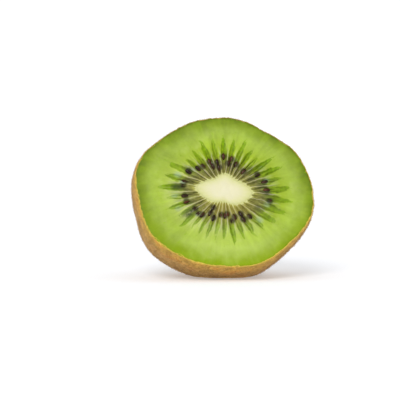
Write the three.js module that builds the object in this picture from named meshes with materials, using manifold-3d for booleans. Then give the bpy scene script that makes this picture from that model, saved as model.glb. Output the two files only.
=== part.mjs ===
// One half of a kiwi fruit, cut across and lying on its skin with the cut face leaning back.
// Two solids: the green flesh in its skin, with the seeds that show, and the pale core that runs
// through it. Millimetres, +Z up, origin under the middle of the fruit on the surface it rests on.
//
// The fruit is built about its own axis: z is the axis, the cut face is at z = 0 looking along +z,
// x runs across the face and y up it. The group at the end leans it back and sets it down.

import * as THREE from 'three';
import { mergeVertices } from 'three/addons/utils/BufferGeometryUtils.js';
import Module from 'manifold-3d';

// ---- driving dimensions -------------------------------------------------------------------

const HALF_LENGTH = 36;          // from the cut face to the far end
const GIRTH_SETBACK = 6;         // the widest girth lies this far behind the cut
const END_BLUNTNESS = 2.4;       // power of the side profile, where 2 is an ellipse
const AXIS_SLANT = 0.02;         // sideways drift of the fruit's middle with depth, mm for each mm
const FACE_RADIUS = 24.95;       // mean radius of the cut face about the core
// waves on the outline of the face: how many round it, how high, where a crest lies (degrees)
const FACE_LOBES = [
  [1, 0.85, -93], [2, 1.81, -5], [3, 0.17, -16], [4, 0.23, -6], [5, 0.31, 9], [6, 0.22, -20], [8, 0.23, -17],
];

const CORE_HALF_WIDTH = 8.4;
const CORE_HALF_HEIGHT = 4.2;
const CORE_POINTEDNESS = 1.65;   // power of the core's outline, where 1 is a diamond and 2 an ellipse
const CORE_TURN = -6.5;          // degrees that its long axis is turned
const CORE_LOBES = [[1, 0.05, 28], [3, 0.11, -39], [5, 0.04, 15]];  // waves on it, as shares of its radius
const CORE_LENGTH = 31;
const CORE_BLUNTNESS = 2.6;
const CORE_GAP = 0.3;            // between the core and the flesh round it

const LOCULES = 32;              // seed chambers, like the spokes of a wheel
// the spokes are not evenly spread: how far each is turned, as waves in degrees
const LOCULE_DRIFT = [[1, 3.6, 180], [2, 3.2, 0]];
const LOCULE_TURN = 0.9;
const LOCULE_TIP = 0.67;         // where they end, as a share of the way from core to skin
const LOCULE_DEPTH = 0.45;       // how far the soft pulp in them lies below the cut

const SEED_LENGTH = 2.2;
const SEED_WIDTH = 1.4;
const SEED_THICKNESS = 1.05;
const SEED_RISE = 0.35;          // how far a seed stands above the pulp it lies in
const SEED_TAPER = 0.35;         // share of its width that it loses at the pointed end
const SEED_DRAW = 319420;        // start of the random draw that places them

const CALYX_RADIUS = 4.6;        // ring of dried sepals at the far end
const CALYX_HEIGHT = 1.1;
const CALYX_TEETH = 8;

const FACE_LEAN = 20;            // degrees that the cut face leans back from upright
const REST_FLAT_DEPTH = 1;       // the skin is pressed flat by this where the fruit lies

const COLUMNS = 3 * LOCULES;     // points round each ring of the flesh
const CORE_COLUMNS = 48;
const FACE_STEPS = [0, 0.1, 0.24, 0.4, 0.55, LOCULE_TIP, 0.84, 1];
const DOME_RINGS = 15;
const CORE_RINGS = 7;

// ---- outlines -----------------------------------------------------------------------------

const radians = (degrees) => THREE.MathUtils.degToRad(degrees);

// sum of waves round a circle, each given as [count, height, direction of a crest]
function waves(list, angle) {
  return list.reduce((sum, [count, height, crest]) => sum + height * Math.cos(count * radians(angle - crest)), 0);
}

function faceRadius(angle) {
  return FACE_RADIUS + waves(FACE_LOBES, angle);
}

function coreRadius(angle) {
  const turned = radians(angle - CORE_TURN);
  const across = Math.abs(Math.cos(turned)) / CORE_HALF_WIDTH;
  const up = Math.abs(Math.sin(turned)) / CORE_HALF_HEIGHT;
  const plain = (across ** CORE_POINTEDNESS + up ** CORE_POINTEDNESS) ** (-1 / CORE_POINTEDNESS);
  return plain * (1 + waves(CORE_LOBES, angle));
}

// the direction of spoke number k; k may be a fraction, for what lies between two spokes
function spokeAngle(k) {
  const even = (360 / LOCULES) * k;
  return even + LOCULE_TURN + waves(LOCULE_DRIFT, even);
}

// radius at a share of the way from the core's edge to the skin
function faceRing(share, angle) {
  return THREE.MathUtils.lerp(coreRadius(angle), faceRadius(angle), share);
}

// a blunt profile from its widest section (turn 0) to its tip (turn 90): [share of radius, of length]
function bluntProfile(turn, power) {
  return [Math.abs(Math.cos(radians(turn))) ** (2 / power), Math.abs(Math.sin(radians(turn))) ** (2 / power)];
}

const LENGTH_PAST_GIRTH = HALF_LENGTH - GIRTH_SETBACK;
// the girth is a little wider than the face, because the cut passed to one side of it
const FACE_TO_GIRTH = (1 - (GIRTH_SETBACK / LENGTH_PAST_GIRTH) ** END_BLUNTNESS) ** (1 / END_BLUNTNESS);

// depth below the cut at which the far side has narrowed to a share of the face's radius
function depthAt(share) {
  return GIRTH_SETBACK
    + LENGTH_PAST_GIRTH * (1 - (share * FACE_TO_GIRTH) ** END_BLUNTNESS) ** (1 / END_BLUNTNESS);
}

// ---- solids -------------------------------------------------------------------------------

const wasm = await Module();
wasm.setup();

// a closed mesh as a solid, after its shared points are merged and its empty faces dropped
function solidOf(geometry) {
  const bare = geometry.clone();
  bare.deleteAttribute('normal');
  bare.deleteAttribute('uv');
  const merged = mergeVertices(bare, 1e-4);
  const index = merged.index.array;
  const faces = [];
  for (let i = 0; i < index.length; i += 3) {
    const [a, b, c] = index.slice(i, i + 3);
    if (a !== b && b !== c && c !== a) faces.push(a, b, c);
  }
  return new wasm.Manifold(new wasm.Mesh({
    numProp: 3,
    vertProperties: new Float32Array(merged.attributes.position.array),
    triVerts: new Uint32Array(faces),
  }));
}

function geometryOf(solid) {
  const mesh = solid.getMesh();
  const geometry = new THREE.BufferGeometry();
  geometry.setAttribute('position', new THREE.BufferAttribute(mesh.vertProperties, 3));
  geometry.setIndex(new THREE.BufferAttribute(mesh.triVerts, 1));
  geometry.computeVertexNormals();
  return geometry;
}

// A closed body made of rings, which follow each other down its outside. Each ring is a function
// that gives its point at column k of `columns`; the first and the last are single points. A lathe
// gives the net of faces, and its profile runs upwards.
function bodyOfRings(rings, columns) {
  const upwards = [...rings].reverse();
  const net = rings.map((ring, i) => new THREE.Vector2(i === 0 || i === rings.length - 1 ? 0 : 1, i));
  const geometry = new THREE.LatheGeometry(net, columns);
  const position = geometry.attributes.position;
  for (let i = 0; i < position.count; i += 1) {
    const column = Math.floor(i / rings.length) % columns;
    const point = upwards[i % rings.length](column);
    position.setXYZ(i, point.x, point.y, point.z);
  }
  return solidOf(geometry);
}

function pointAt(angle, radius, z) {
  return new THREE.Vector3(radius * Math.cos(radians(angle)), radius * Math.sin(radians(angle)), z);
}

// ---- flesh in its skin --------------------------------------------------------------------

// A place on the outside of the fruit. The knife didn't pass quite square to the fruit's axis, so
// each girth lies a little to one side of the one before it.
function outsideAt(angle, radius, depth) {
  const point = pointAt(angle, radius, -depth);
  point.x += AXIS_SLANT * depth;
  return point;
}

const fleshAngle = (column) => spokeAngle((column * LOCULES) / COLUMNS);

// the rings of the socket that the core sits in, from its closed end out to the cut face
function socketRings() {
  const rings = [() => pointAt(0, 0, -(CORE_LENGTH + CORE_GAP))];
  for (let i = CORE_RINGS - 1; i >= 1; i -= 1) {
    const [wide, deep] = bluntProfile((90 * i) / CORE_RINGS, CORE_BLUNTNESS);
    rings.push((column) => pointAt(
      fleshAngle(column),
      coreRadius(fleshAngle(column)) * wide + CORE_GAP,
      -(CORE_LENGTH * deep + CORE_GAP * deep),
    ));
  }
  return rings;
}

// the pulp of each spoke lies in a shallow groove that runs out at both ends
function grooveDepth(column, share) {
  const middle = Math.max(0, Math.cos((2 * Math.PI * column * LOCULES) / COLUMNS));
  const along = THREE.MathUtils.smoothstep(share, 0, 0.1) * (1 - THREE.MathUtils.smoothstep(share, 0.24, LOCULE_TIP));
  return LOCULE_DEPTH * middle * along;
}

function cutFaceRings() {
  return FACE_STEPS.map((share) => (column) => {
    const angle = fleshAngle(column);
    const clear = CORE_GAP * (1 - share);
    return pointAt(angle, faceRing(share, angle) + clear, -grooveDepth(column, share));
  });
}

function skinRings() {
  const start = THREE.MathUtils.radToDeg(Math.asin(
    (GIRTH_SETBACK / LENGTH_PAST_GIRTH) ** (END_BLUNTNESS / 2),
  ));
  const calyxShare = (1.3 * CALYX_RADIUS) / FACE_RADIUS;
  const end = THREE.MathUtils.radToDeg(Math.acos((calyxShare * FACE_TO_GIRTH) ** (END_BLUNTNESS / 2)));
  const rings = [];
  for (let i = 1; i <= DOME_RINGS; i += 1) {
    const turn = THREE.MathUtils.lerp(-start, end, i / DOME_RINGS);
    const [wide, deep] = bluntProfile(turn, END_BLUNTNESS);
    const depth = GIRTH_SETBACK + Math.sign(turn) * LENGTH_PAST_GIRTH * deep;
    rings.push((column) => outsideAt(
      fleshAngle(column), (faceRadius(fleshAngle(column)) * wide) / FACE_TO_GIRTH, depth,
    ));
  }
  return rings;
}

// The dried remains of the flower: a ragged ring of sepals round a sunken middle.
// Each step is [share of the ring's radius, share of its height, how ragged it is].
function calyxRings() {
  const steps = [[1.15, 0.2, 0], [0.98, 0.8, 0.35], [0.72, 1, 0.25], [0.5, 0.2, 0]];
  const rings = steps.map(([wide, high, ragged]) => (column) => {
    const radius = CALYX_RADIUS * wide;
    const tooth = Math.cos((2 * Math.PI * column * CALYX_TEETH) / COLUMNS);
    const depth = depthAt(radius / FACE_RADIUS) + CALYX_HEIGHT * high * (1 + ragged * tooth);
    return outsideAt(fleshAngle(column), radius, depth);
  });
  rings.push(() => outsideAt(0, 0, HALF_LENGTH));
  return rings;
}

// One seed: a flattened drop, its long side along a spoke and its point towards the core.
function seedSolid(angle, share) {
  const seed = new THREE.SphereGeometry(1, 6, 4);
  const position = seed.attributes.position;
  for (let i = 0; i < position.count; i += 1) {
    const along = -position.getY(i);
    const narrow = 1 + (SEED_TAPER * (along - 1)) / 2;
    position.setXYZ(
      i,
      (along * SEED_LENGTH) / 2,
      (position.getX(i) * narrow * SEED_WIDTH) / 2,
      (position.getZ(i) * narrow * SEED_THICKNESS) / 2,
    );
  }
  seed.rotateZ(radians(angle));
  const centre = pointAt(angle, faceRing(share, angle), SEED_RISE - LOCULE_DEPTH / 2 - SEED_THICKNESS / 2);
  seed.translate(centre.x, centre.y, centre.z);
  return solidOf(seed);
}

// Seeds lie in a ring about a quarter of the way out. Most spokes show one, some two or none.
function seedPlaces() {
  let state = SEED_DRAW;
  const draw = () => {
    state = (state * 48271) % 2147483647;
    return state / 2147483647;
  };
  for (let i = 0; i < 3; i += 1) draw();
  const places = [];
  for (let k = 0; k < LOCULES; k += 1) {
    const out = 0.20 + 0.12 * draw();
    const aside = (draw() - 0.5) * 0.8 * (360 / LOCULES);
    if (draw() < 0.88) places.push([spokeAngle(k) + aside, out]);
    if (draw() < 0.3) places.push([spokeAngle(k) - aside, out - 0.09]);
  }
  return places;
}

// What lies below the surface that the fruit rests on, so that cutting it away leaves a small
// flat spot square to `down`.
function belowRest(solid, down) {
  const points = solid.getMesh().vertProperties;
  let reach = 0;
  for (let i = 0; i < points.length; i += 3) {
    reach = Math.max(reach, new THREE.Vector3().fromArray(points, i).dot(down));
  }
  const block = new THREE.BoxGeometry(4 * FACE_RADIUS, 4 * FACE_RADIUS, 10);
  block.translate(0, 0, 5 + reach - REST_FLAT_DEPTH);
  block.applyQuaternion(new THREE.Quaternion().setFromUnitVectors(new THREE.Vector3(0, 0, 1), down));
  return solidOf(block);
}

const lean = radians(90 - FACE_LEAN);
const down = new THREE.Vector3(0, -Math.sin(lean), -Math.cos(lean));

let flesh = bodyOfRings([...socketRings(), ...cutFaceRings(), ...skinRings(), ...calyxRings()], COLUMNS);
flesh = flesh.subtract(belowRest(flesh, down));
for (const [angle, share] of seedPlaces()) flesh = flesh.add(seedSolid(angle, share));

// ---- core ---------------------------------------------------------------------------------

const coreAngle = (column) => (360 * column) / CORE_COLUMNS;

function coreRings() {
  const rings = [() => pointAt(0, 0, 0)];
  for (let i = 0; i < CORE_RINGS; i += 1) {
    const [wide, deep] = bluntProfile((90 * i) / CORE_RINGS, CORE_BLUNTNESS);
    rings.push((column) => pointAt(
      coreAngle(column), coreRadius(coreAngle(column)) * wide, -CORE_LENGTH * deep,
    ));
  }
  rings.push(() => pointAt(0, 0, -CORE_LENGTH));
  return rings;
}

const core = bodyOfRings(coreRings(), CORE_COLUMNS);

// ---- the fruit, leant back and set down ---------------------------------------------------

function piece(name, solid, colour, roughness) {
  const material = new THREE.MeshStandardMaterial({ color: colour, roughness, metalness: 0 });
  const mesh = new THREE.Mesh(geometryOf(solid), material);
  mesh.name = name;
  return mesh;
}

const kiwiHalf = new THREE.Group();
kiwiHalf.add(piece('flesh_and_skin', flesh, 0xa9c455, 0.45));
kiwiHalf.add(piece('core', core, 0xefebc6, 0.5));
kiwiHalf.rotation.x = lean;

const size = new THREE.Box3().setFromObject(kiwiHalf, true);
const middle = size.getCenter(new THREE.Vector3());
kiwiHalf.position.set(-middle.x, -middle.y, -size.min.z);

export default kiwiHalf;
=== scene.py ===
import math
import random

import bmesh
import bpy
from mathutils import Matrix, Vector, noise


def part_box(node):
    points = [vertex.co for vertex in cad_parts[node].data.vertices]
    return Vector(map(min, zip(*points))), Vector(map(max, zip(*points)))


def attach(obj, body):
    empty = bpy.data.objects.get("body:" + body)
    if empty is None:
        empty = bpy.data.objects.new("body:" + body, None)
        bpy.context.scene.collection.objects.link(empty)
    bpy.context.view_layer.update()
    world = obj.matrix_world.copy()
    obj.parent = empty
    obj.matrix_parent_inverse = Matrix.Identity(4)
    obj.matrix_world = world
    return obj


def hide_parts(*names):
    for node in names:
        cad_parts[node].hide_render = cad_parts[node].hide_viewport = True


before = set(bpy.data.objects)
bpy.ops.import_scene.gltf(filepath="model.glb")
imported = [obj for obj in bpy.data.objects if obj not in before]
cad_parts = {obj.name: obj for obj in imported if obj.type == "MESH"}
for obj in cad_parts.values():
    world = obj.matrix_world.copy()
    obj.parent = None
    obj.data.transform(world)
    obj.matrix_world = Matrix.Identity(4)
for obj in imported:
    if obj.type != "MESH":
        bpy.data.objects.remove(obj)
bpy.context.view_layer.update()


# ---- Core ----------------------------------------------------------------------------------------
# The columella: the firm, cream-white pith that runs down the middle of the fruit. It is grown
# together with the flesh, and the knife leaves it level with the cut. Everything about the fruit is
# laid out in millimetres on its own axis: the cut face at z = 0, x across it and y up it.
CORE_HALF_WIDTH = 8.4
CORE_HALF_HEIGHT = 4.2
CORE_POINTEDNESS = 1.65
CORE_TURN = -6.5
CORE_LOBES = ((1, 0.05, 28), (3, 0.11, -39), (5, 0.04, 15))
CORE_LENGTH = 31
CORE_BLUNTNESS = 2.6
FACE_LEAN = 20
CAD_CORE_COLUMNS = 48

LOCULES = 32  # seed chambers, like the spokes of a wheel
# the spokes are not evenly spread: how far each is turned, as waves in degrees
LOCULE_DRIFT = ((1, 3.6, 180), (2, 3.2, 0))
LOCULE_TURN = 0.9
CORE_COLUMNS = 6 * LOCULES
CORE_FACE_RINGS = 26
CORE_SIDE_RINGS = 12
CORE_TUCK = 0.06  # the core's edge dips under the flesh, so that no gap shows between them
CORE_OVERLAP = 1.015  # and reaches this much further out
CORE_GRAIN = (0.05, 0.8)  # its cut face is rough: how high, in mm, and how close together
MERGE = 1e-4


def waves(lobes, angle):
    """The sum of waves round a circle, each given as its count, its height and where a crest lies."""
    return sum(high * math.cos(count * math.radians(angle - crest)) for count, high, crest in lobes)


def core_radius(angle):
    turned = math.radians(angle - CORE_TURN)
    across = abs(math.cos(turned)) / CORE_HALF_WIDTH
    up = abs(math.sin(turned)) / CORE_HALF_HEIGHT
    plain = (across**CORE_POINTEDNESS + up**CORE_POINTEDNESS) ** (-1 / CORE_POINTEDNESS)
    return plain * (1 + waves(CORE_LOBES, angle))


def spoke_angle(k):
    """The direction of spoke number k; k may be a fraction, for what lies between two spokes."""
    even = 360 / LOCULES * k
    return even + LOCULE_TURN + waves(LOCULE_DRIFT, even)


def at(angle, radius, z):
    return Vector((radius * math.cos(math.radians(angle)), radius * math.sin(math.radians(angle)), z))


def blunt_profile(turn, power):
    """From the widest section, at turn 0, to the tip, at 90: the share of the radius and of the length."""
    across, along = abs(math.cos(math.radians(turn))), abs(math.sin(math.radians(turn)))
    return across ** (2 / power), along ** (2 / power)


def turned_disc(rings, columns):
    """A flat disc of rings one unit apart, spun from a row of points, with each face's place round it."""
    bm = bmesh.new()
    row = [bm.verts.new((i, 0, 0)) for i in range(rings)]
    edges = [bm.edges.new(pair) for pair in zip(row, row[1:])]
    bmesh.ops.spin(
        bm, geom=row + edges, cent=(0, 0, 0), axis=(0, 0, 1), angle=2 * math.pi, steps=columns,
        use_merge=True,
    )
    bmesh.ops.remove_doubles(bm, verts=bm.verts, dist=MERGE)
    spoke = bm.loops.layers.float.new("spoke")
    for face in bm.faces:
        middle = face.calc_center_median()
        here = math.atan2(middle.y, middle.x)
        for loop in face.loops:
            turn = math.atan2(loop.vert.co.y, loop.vert.co.x) if loop.vert.co.length > 0.5 else here
            turn += 2 * math.pi * round((here - turn) / (2 * math.pi))
            loop[spoke] = turn * LOCULES / (2 * math.pi)
    return bm


def ring_and_turn(vert):
    """Which ring of the disc a point is on, and how far round it is, in degrees."""
    return round(vert.co.xy.length), math.degrees(math.atan2(vert.co.y, vert.co.x)) % 360


def place_on_table():
    """Leans the fruit back and sets it where the model's own core stands, in metres."""
    lean = math.radians(90 - FACE_LEAN)
    turns = [360 / CAD_CORE_COLUMNS * i for i in range(CAD_CORE_COLUMNS)]
    edge = [at(turn, core_radius(turn), 0) for turn in turns]
    low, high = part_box("core")
    shift = Vector((
        low.x - min(p.x for p in edge) / 1000,
        low.y - min(p.y for p in edge) * math.cos(lean) / 1000,
        high.z - max(p.y for p in edge) * math.sin(lean) / 1000,
    ))
    return Matrix.Translation(shift) @ Matrix.Rotation(lean, 4, "X") @ Matrix.Scale(0.001, 4)


PLACE = place_on_table()


def piece_of(name, bm, material):
    """Sets a finished shape down in its place as one object, smooth and with its material."""
    bmesh.ops.transform(bm, matrix=PLACE, verts=bm.verts)
    for face in bm.faces:
        face.smooth = True
    mesh = bpy.data.meshes.new(name)
    bm.to_mesh(mesh)
    bm.free()
    mesh.materials.append(material)
    made = bpy.data.objects.new(name, mesh)
    bpy.context.scene.collection.objects.link(made)
    return made


def linear(hex_colour):
    """An sRGB hex colour as the linear red, green, blue and alpha that a socket takes."""
    parts = [int(hex_colour[i:i + 2], 16) / 255 for i in (1, 3, 5)]
    return [p / 12.92 if p <= 0.04045 else ((p + 0.055) / 1.055) ** 2.4 for p in parts] + [1.0]


def new_material(name):
    made = bpy.data.materials.new(name)
    made.use_nodes = True
    made.node_tree.nodes.clear()
    return made


def node(owner, kind, sockets=None, out=None, stops=(), **settings):
    """Adds one node. Settings are its own properties, and sockets its inputs, by name or by place,
    each a value or another node's output. A map range's places 1 to 4 are the low and high that it
    maps from and to. Stops are the colours or greys of a ramp. Gives one output."""
    made = owner.node_tree.nodes.new(kind)
    for name, value in settings.items():
        setattr(made, name, value)
    shown = [s for s in made.inputs if s.enabled]
    for key, value in (sockets or {}).items():
        socket = shown[key] if isinstance(key, int) else next(s for s in shown if s.name == key)
        if isinstance(value, bpy.types.NodeSocket):
            owner.node_tree.links.new(value, socket)
        else:
            socket.default_value = value
    for i, (place, colour) in enumerate(stops):
        elements = made.color_ramp.elements
        element = elements[i] if i < 2 else elements.new(place)
        element.position = place
        element.color = linear(colour) if isinstance(colour, str) else (colour, colour, colour, 1)
    return next((s for s in made.outputs if s.enabled and out in (None, s.name)), None)


def core_body():
    bm = turned_disc(CORE_FACE_RINGS + CORE_SIDE_RINGS + 1, CORE_COLUMNS)
    out = bm.verts.layers.float.new("out")
    last = CORE_FACE_RINGS + CORE_SIDE_RINGS
    for vert in bm.verts:
        ring, turn = ring_and_turn(vert)
        angle = spoke_angle(turn * LOCULES / 360)
        if ring <= CORE_FACE_RINGS:
            share = ring / CORE_FACE_RINGS
            edge = max(0.0, (share - 0.9) / 0.1)
            high, close = CORE_GRAIN
            grain = high * noise.noise(at(angle, share * core_radius(angle), 0) * close)
            vert.co = at(angle, core_radius(angle) * share * CORE_OVERLAP, grain - CORE_TUCK * edge**2)
        else:
            share = 1.0
            wide, deep = blunt_profile(90 * (ring - CORE_FACE_RINGS) / CORE_SIDE_RINGS, CORE_BLUNTNESS)
            vert.co = at(angle, core_radius(angle) * wide, -CORE_TUCK - (CORE_LENGTH - CORE_TUCK) * deep)
            if ring == last:
                vert.co = Vector((0, 0, -CORE_LENGTH))
        vert[out] = share
    bmesh.ops.remove_doubles(bm, verts=bm.verts, dist=MERGE)
    bmesh.ops.recalc_face_normals(bm, faces=bm.faces)
    return bm


# Raw pith: dense, moist and matt, palest in the middle and greener towards the edge, with faint
# fibres that run out to the spokes. Object coordinates are metres, so a pattern's scale is 1000
# over the size of its grains in mm.
PITH_GRAIN = 1.923
pith = new_material("raw kiwi pith")
pith_place = node(pith, "ShaderNodeTexCoord", out="Object")
pith_out = node(pith, "ShaderNodeAttribute", attribute_name="out", out="Fac")
pith_spoke = node(pith, "ShaderNodeAttribute", attribute_name="spoke", out="Fac")
pith_grain = node(
    pith, "ShaderNodeTexNoise", {"Vector": pith_place, "Scale": 1000 / PITH_GRAIN, "Detail": 3.0}, out="Fac"
)
pith_wave = node(pith, "ShaderNodeMath", {0: pith_spoke, 1: 2 * math.pi}, operation="MULTIPLY")
pith_ray = node(pith, "ShaderNodeMath", {0: pith_wave}, operation="COSINE")
pith_bent = node(pith, "ShaderNodeMath", {0: pith_ray, 1: 0.02, 2: pith_out}, operation="MULTIPLY_ADD")
pith_edge = node(pith, "ShaderNodeMath", {0: pith_grain, 1: 0.10, 2: pith_bent}, operation="MULTIPLY_ADD")
pith_tint = node(
    pith, "ShaderNodeValToRGB", {"Fac": pith_edge}, out="Color",
    stops=((0.0, "#d4d0b0"), (0.55, "#d2ceaa"), (0.82, "#ccca98"), (0.97, "#c4c488"), (1.0, "#c0c080")),
)
pith_bump = node(pith, "ShaderNodeBump", {"Height": pith_grain, "Strength": 0.15, "Distance": 0.0002})
pith_shade = node(
    pith, "ShaderNodeBsdfPrincipled",
    {
        "Base Color": pith_tint, "Roughness": 0.42, "IOR": 1.4, "Normal": pith_bump,
        "Subsurface Weight": 0.35, "Subsurface Radius": (1.0, 0.9, 0.5), "Subsurface Scale": 0.0009,
    },
)
node(pith, "ShaderNodeOutputMaterial", {"Surface": pith_shade})

core = piece_of("core_pith", core_body(), pith)
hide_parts("core")
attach(core, "root")


# ---- Flesh ---------------------------------------------------------------------------------------
# The green pericarp: soft, wet, half clear flesh round the core. Its seed chambers run out from the
# core like the spokes of a wheel, parted by thin pale walls, and end as dark flames in the lighter
# outer flesh. One knife cut leaves it flat, with the soft pulp of each chamber a little sunken.
HALF_LENGTH = 36
GIRTH_SETBACK = 6
END_BLUNTNESS = 2.4
AXIS_SLANT = 0.02
FACE_RADIUS = 24.95
FACE_LOBES = (
    (1, 0.85, -93), (2, 1.81, -5), (3, 0.17, -16), (4, 0.23, -6), (5, 0.31, 9), (6, 0.22, -20),
    (8, 0.23, -17),
)
LOCULE_TIP = 0.67
LOCULE_DEPTH = 0.45
SKIN_THICKNESS = 0.2

FLESH_COLUMNS = 12 * LOCULES
SOCKET_RINGS = 8
FACE_RINGS = 84
DOME_RINGS = 22
FLESH_ROUNDING = 0.12  # the edge of the flesh dips by this against the skin
FLESH_GRAIN = ((0.05, 0.7), (0.03, 2.1))  # the roughness of the cut: how high, how close together
SOCKET_GAP = 0.3  # between the core and the flesh, deep inside
SEED_SHADE = (0.6, 1.4)  # painted shade darkens the pulp within this of a seed, and none lies beyond that, in mm


def face_radius(angle):
    return FACE_RADIUS + waves(FACE_LOBES, angle)


LENGTH_PAST_GIRTH = HALF_LENGTH - GIRTH_SETBACK
FACE_TO_GIRTH = (1 - (GIRTH_SETBACK / LENGTH_PAST_GIRTH) ** END_BLUNTNESS) ** (1 / END_BLUNTNESS)
FACE_TURN = -math.degrees(math.asin((GIRTH_SETBACK / LENGTH_PAST_GIRTH) ** (END_BLUNTNESS / 2)))


def outside_at(angle, radius, depth):
    """A place on the outside, where each girth lies a little to one side of the one before it."""
    return at(angle, radius, -depth) + Vector((AXIS_SLANT * depth, 0, 0))


def skin_at(turn, angle, inset=0.0):
    """A place on the outside of the fruit, from the cut, at FACE_TURN, to the far end, at 90."""
    wide, deep = blunt_profile(turn, END_BLUNTNESS)
    depth = GIRTH_SETBACK + math.copysign(LENGTH_PAST_GIRTH * deep, turn)
    girth = face_radius(angle) / FACE_TO_GIRTH
    return outside_at(angle, wide * (girth - inset), depth - inset * deep * (turn > 0))


def smooth(value, low, high):
    t = min(1.0, max(0.0, (value - low) / (high - low)))
    return t * t * (3 - 2 * t)


def groove_depth(k, share):
    along = smooth(share, 0, 0.1) * (1 - smooth(share, 0.24, LOCULE_TIP))
    return LOCULE_DEPTH * max(0.0, math.cos(2 * math.pi * k)) * along


def face_ring(share, angle):
    return core_radius(angle) + (face_radius(angle) - core_radius(angle)) * share


def seed_places():
    """Where the seeds lie, as an angle and a share of the way out: one in most spokes, two in some."""
    state = 319420

    def draw():
        nonlocal state
        state = (state * 48271) % 2147483647
        return state / 2147483647

    for _ in range(3):
        draw()
    places = []
    for k in range(LOCULES):
        out = 0.20 + 0.12 * draw()
        aside = (draw() - 0.5) * 0.8 * (360 / LOCULES)
        if draw() < 0.88:
            places.append((spoke_angle(k) + aside, out))
        if draw() < 0.3:
            places.append((spoke_angle(k) - aside, out - 0.09))
    return places


# seeds that lie deeper and only show as a grey haze, and places where the clear pulp between the walls
# is pale, with a painted wet sheen of juice on it: angle, share of the way out, radius in mm, strength
HAZY_SEEDS = (
    (39, 0.28, 1.3, 0.6), (148, 0.33, 1.6, 0.8), (176, 0.33, 1.7, 0.9), (213, 0.36, 2.0, 0.9),
    (232, 0.28, 1.3, 0.6), (330, 0.26, 1.6, 0.7), (355, 0.24, 1.5, 0.6), (301, 0.3, 1.4, 0.6),
    (8, 0.22, 1.4, 0.5), (345, 0.32, 1.5, 0.6), (22, 0.17, 1.2, 0.4),
)
JUICE_SHEEN_SPOTS = (
    (168, 0.26, 0.9, 0.6), (160, 0.38, 1.2, 0.55), (143, 0.30, 0.8, 0.5), (185, 0.40, 1.2, 0.5),
    (12, 0.34, 1.1, 0.45), (318, 0.40, 1.2, 0.5), (222, 0.30, 0.9, 0.4), (112, 0.24, 0.8, 0.6),
    (66, 0.30, 0.7, 0.4), (340, 0.30, 1.0, 0.5), (202, 0.44, 1.1, 0.45), (30, 0.42, 0.9, 0.35),
)


def spots_on_face(spots):
    return [(at(angle, face_ring(share, angle), 0), wide, much) for angle, share, wide, much in spots]


def strength_at(place, spots):
    """How strongly a place is tinted by spots that are each one and a half times as long as wide."""
    strongest = 0.0
    for spot, wide, much in spots:
        outwards, off = spot.normalized(), place - spot
        along = off.dot(outwards)
        beside = math.hypot(along / 1.5, (off - along * outwards).length)
        strongest = max(strongest, much * (1 - smooth(beside, 0.2 * wide, wide)))
    return strongest


def press_flat(bm, height):
    """Presses whatever would lie lower than this height over the table, in mm, up to it."""
    for vert in bm.verts:
        place = PLACE @ vert.co
        if place.z < height / 1000:
            place.z = height / 1000
            vert.co = PLACE.inverted() @ place


def flesh_body():
    bm = turned_disc(SOCKET_RINGS + FACE_RINGS + DOME_RINGS + 1, FLESH_COLUMNS)
    share_of = bm.verts.layers.float.new("share")
    pitch_of = bm.verts.layers.float.new("pitch")
    shade_of = bm.verts.layers.float.new("seed_shade")
    haze_of = bm.verts.layers.float.new("haze")
    juice_sheen_of = bm.verts.layers.float.new("juice")
    seeds = [at(angle, face_ring(share, angle), 0) for angle, share in seed_places()]
    hazes, juice_sheens = spots_on_face(HAZY_SEEDS), spots_on_face(JUICE_SHEEN_SPOTS)
    last_face = SOCKET_RINGS + FACE_RINGS
    for vert in bm.verts:
        ring, turn = ring_and_turn(vert)
        k = turn * LOCULES / 360
        angle = spoke_angle(k)
        if ring < SOCKET_RINGS:
            wide, deep = blunt_profile(90 * (1 - ring / SOCKET_RINGS), CORE_BLUNTNESS)
            vert.co = at(angle, core_radius(angle) * wide if ring else 0, -(CORE_LENGTH + SOCKET_GAP) * deep)
            share = 0.0
        elif ring <= last_face:
            share = (ring - SOCKET_RINGS) / FACE_RINGS
            radius = core_radius(angle) + (face_radius(angle) - SKIN_THICKNESS - core_radius(angle)) * share
            edge = max(0.0, (share - 0.975) / 0.025)
            flat = at(angle, radius, 0)
            grain = sum(high * noise.noise(flat * close) for high, close in FLESH_GRAIN)
            vert.co = at(angle, radius, grain - groove_depth(k, share) - FLESH_ROUNDING * edge**2)
            # painted shade on the pulp round each seed, where it sinks in
            vert[shade_of] = max(1 - smooth((flat - seed).length, *SEED_SHADE) for seed in seeds)
            vert[haze_of] = strength_at(flat, hazes)
            # a painted wet sheen where juice lies on the clear pulp
            vert[juice_sheen_of] = strength_at(flat, juice_sheens)
        else:
            share = 1.0
            step = (ring - last_face) / DOME_RINGS
            vert.co = skin_at(FACE_TURN + (90 - FACE_TURN) * step, angle, SKIN_THICKNESS)
            if step == 1:
                vert.co = outside_at(0, 0, HALF_LENGTH - SKIN_THICKNESS)
        vert[share_of] = share
        beside = spoke_angle(k + 0.5) - spoke_angle(k - 0.5)
        vert[pitch_of] = math.radians(beside) * vert.co.xy.length
    press_flat(bm, SKIN_THICKNESS)
    bmesh.ops.remove_doubles(bm, verts=bm.verts, dist=MERGE)
    bmesh.ops.recalc_face_normals(bm, faces=bm.faces)
    return bm


# Raw fruit flesh with a film of juice: half clear, so light spreads in it, and faintly glossy.
# Its patterns, as the size of their grains in mm and their detail: bends and nicks in the edges of
# the chambers, grains of pulp, and broad and small clouds.
PULP_PATTERNS = ((3.03, 1.0), (0.833, 1.0), (0.909, 2.0), (7.69, 2.0), (4.17, 2.0))
PULP_RAYS = (10.0, 24.0)  # streaks and fibres that run outwards, about two and five to a chamber

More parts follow.
